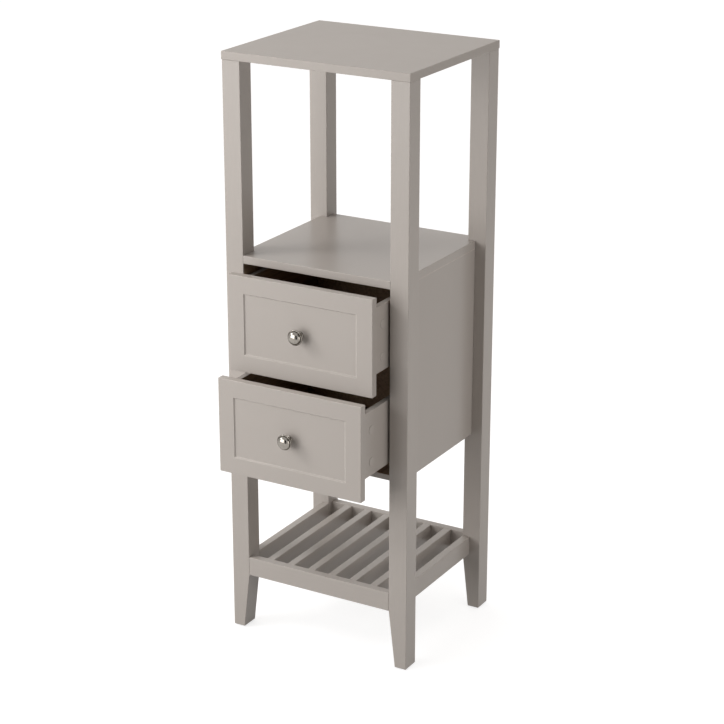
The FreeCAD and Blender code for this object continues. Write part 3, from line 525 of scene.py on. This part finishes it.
DOME_TOP = 28.0
DOME_TIP = 0.02
DOME_RINGS = 24
for ring in range(1, DOME_RINGS):
    turn = pi / 2 * ring / DOME_RINGS
    KNOB_PROFILE.append((DOME_FOOT + (DOME_TOP - DOME_FOOT) * sin(turn), DOME_RADIUS * cos(turn)))
KNOB_PROFILE.append((DOME_TOP, DOME_TIP))

# Handling: the faint breath and finger smears that dull a polished plate here and there.
smears, smears_in, smears_out = start_group(
    "finger_smears", [("Vector", "Vector", None), ("Gloss", "Float", None)], [("Roughness", "Float")]
)
breath = noise(smears, smears_in["Vector"], scale=170.0, detail=4.0, roughness=0.6)
smear = spread(smears, breath, low=0.45, high=0.75, new_high=0.09)
smears.links.new(math_node(smears, "ADD", smears_in["Gloss"], smear), smears_out["Roughness"])

nickel, nickel_tree, nickel_shader, nickel_place = new_finish("polished_nickel")
nickel_skin = place_group(nickel_tree, plating, {"Vector": nickel_place, "Colour": finish_colour(*NICKEL)})
nickel_touch = place_group(nickel_tree, smears, {"Vector": nickel_place, "Gloss": NICKEL_GLOSS})
nickel_shader.inputs["Metallic"].default_value = 1.0
nickel_tree.links.new(nickel_skin["Colour"], nickel_shader.inputs["Base Color"])
nickel_tree.links.new(nickel_touch["Roughness"], nickel_shader.inputs["Roughness"])
for level_name in LEVELS:
    dress(bright_steel, f"{level_name}_drawer_knob_screw")
    knob_low, knob_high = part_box(f"{level_name}_drawer_knob")
    seat = (0, knob_high.y, (knob_low.z + knob_high.z) / 2)
    knob = turned(f"{level_name}_turned_knob", KNOB_PROFILE, seat, "front")
    knob.data.materials.append(nickel)
    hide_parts(f"{level_name}_drawer_knob")
    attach(knob, f"{level_name}_drawer")


# Studio: a wide white floor that keeps the cabinet's shadow, white walls at the left and behind, a white
# ceiling and three soft boxes: a wide one in front, a small one higher at the left and one at the right.
# Two black flags give the polished knobs their dark streaks.
FLOOR_SIDE = 60.0
FLOOR_WHITE = 0.4
FLOOR_MATT = 0.9
FLOOR_LIFT = 0.76
LEFT_WALL, BACK_WALL = 1.05, 0.5
OVERHEAD, OVERHEAD_EDGE = 1.22, 0.65
WHITE = (1, 1, 1, 1)
WALL_TINGE = (1.0, 0.968, 0.935, 1)
bpy.ops.object.select_all(action="DESELECT")
bpy.ops.mesh.primitive_plane_add(size=FLOOR_SIDE)
floor = bpy.context.object
floor.name = "studio_floor"
floor_finish = bpy.data.materials.new("studio_white")
floor_finish.use_nodes = True
floor_tree = floor_finish.node_tree
floor_shader = floor_tree.nodes["Principled BSDF"]
floor_shader.inputs["Base Color"].default_value = (FLOOR_WHITE, FLOOR_WHITE, FLOOR_WHITE, 1)
floor_shader.inputs["Roughness"].default_value = FLOOR_MATT
floor_shader.inputs["Specular IOR Level"].default_value = 0.0
floor_shader.inputs["Emission Color"].default_value = WHITE


def seen_directly(tree):
    """1 for rays that show the background itself: straight on, in a reflection or through glass."""
    path = place_node(tree, "LightPath").outputs
    seen = math_node(tree, "MAXIMUM", path["Is Camera Ray"], path["Is Glossy Ray"])
    return math_node(tree, "MAXIMUM", seen, path["Is Transmission Ray"])


lift = math_node(floor_tree, "MULTIPLY", seen_directly(floor_tree), FLOOR_LIFT)
floor_tree.links.new(lift, floor_shader.inputs["Emission Strength"])
floor.data.materials.append(floor_finish)

surround = bpy.data.worlds.new("white_surround")
bpy.context.scene.world = surround
surround.use_nodes = True
surround_tree = surround.node_tree
backdrop = surround_tree.nodes["Background"]
direction = place_node(surround_tree, "TexCoord").outputs["Generated"]
direction_parts = place_node(surround_tree, "SeparateXYZ", {0: direction}).outputs
from_left = spread(surround_tree, direction_parts["X"], low=0, high=-1, new_high=LEFT_WALL)
from_behind = spread(surround_tree, direction_parts["Y"], low=0, high=1, new_high=BACK_WALL)
from_above = spread(surround_tree, direction_parts["Z"], low=OVERHEAD_EDGE, high=1, new_high=OVERHEAD)
from_walls = math_node(surround_tree, "ADD", from_left, from_behind)
soft_light = math_node(surround_tree, "ADD", from_walls, from_above)
seen = seen_directly(surround_tree)
strength = place_node(surround_tree, "Mix", {"Factor": seen, "A": soft_light, "B": 1.0}, data_type="FLOAT")
surround_tree.links.new(colour_mix(surround_tree, seen, WALL_TINGE, WHITE), backdrop.inputs["Color"])
surround_tree.links.new(strength.outputs["Result"], backdrop.inputs["Strength"])

FLAG_AIM = Vector((0, -0.28, 0.58))
FLAG_BLACK = (0.005, 0.005, 0.005, 1)
flag_cloth = bpy.data.materials.new("flag_cloth")
flag_cloth.use_nodes = True
flag_shader = flag_cloth.node_tree.nodes["Principled BSDF"]
flag_shader.inputs["Base Color"].default_value = FLAG_BLACK
flag_shader.inputs["Roughness"].default_value = 1.0


def towards(turn, rise):
    """The direction at a turn from the front towards the right and a rise above level, in degrees."""
    turn, rise = radians(turn), radians(rise)
    return Vector((sin(turn) * cos(rise), -cos(turn) * cos(rise), sin(rise)))


def black_flag(name, turn, rise, away, width, height):
    """A sheet of black cloth that only reflections show."""
    bpy.ops.object.select_all(action="DESELECT")
    bpy.ops.mesh.primitive_plane_add(size=1.0)
    flag = bpy.context.object
    flag.name = name
    flag.scale = (width, height, 1)
    flag.location = FLAG_AIM + towards(turn, rise) * away
    flag.rotation_euler = (-towards(turn, rise)).to_track_quat("Z", "Y").to_euler()
    flag.visible_camera = flag.visible_diffuse = flag.visible_transmission = flag.visible_shadow = False
    flag.data.materials.append(flag_cloth)


black_flag("front_flag", turn=21, rise=11, away=1.6, width=0.62, height=1.4)
black_flag("right_flag", turn=95, rise=42, away=1.5, width=0.9, height=0.9)

LAMP_AIM = Vector((0, 0, 0.64))


def area_lamp(name, turn, rise, away, width, height, power, tinge=WHITE):
    """A soft box that faces the cabinet."""
    bpy.ops.object.light_add(type="AREA")
    lamp = bpy.context.object
    lamp.name = name
    lamp.data.shape = "RECTANGLE"
    lamp.data.size = width
    lamp.data.size_y = height
    lamp.data.energy = power
    lamp.data.color = tinge[:3]
    lamp.location = LAMP_AIM + towards(turn, rise) * away
    lamp.rotation_euler = (-towards(turn, rise)).to_track_quat("-Z", "Y").to_euler()


area_lamp("front_box", turn=-25, rise=10, away=2.6, width=2.0, height=1.6, power=39.0)
area_lamp("left_box", turn=-52, rise=30, away=2.6, width=0.7, height=0.7, power=19.0)
area_lamp("right_box", turn=85, rise=3, away=1.7, width=1.4, height=1.0, power=8.6, tinge=WALL_TINGE)


# Camera: on the photograph's side of the cabinet, looking down on it from further away and higher up.
# Its lens isn't shifted, so the legs converge a little towards the floor.
CAMERA_TURN, CAMERA_RISE, CAMERA_AWAY = 30.1, 19.93, 4.141
CAMERA_LENS, CAMERA_SENSOR = 104.0, 36.0
CAMERA_AIM = Vector((0, 0, 0.5526))
bpy.ops.object.camera_add()
camera = bpy.context.object
camera.name = "camera"
camera.data.lens = CAMERA_LENS
camera.data.sensor_width = CAMERA_SENSOR
camera_side = towards(CAMERA_TURN, CAMERA_RISE)
camera.location = CAMERA_AIM + camera_side * CAMERA_AWAY
camera.rotation_euler = (-camera_side).to_track_quat("-Z", "Y").to_euler()
bpy.context.scene.camera = camera
bpy.context.scene.view_settings.view_transform = "Standard"
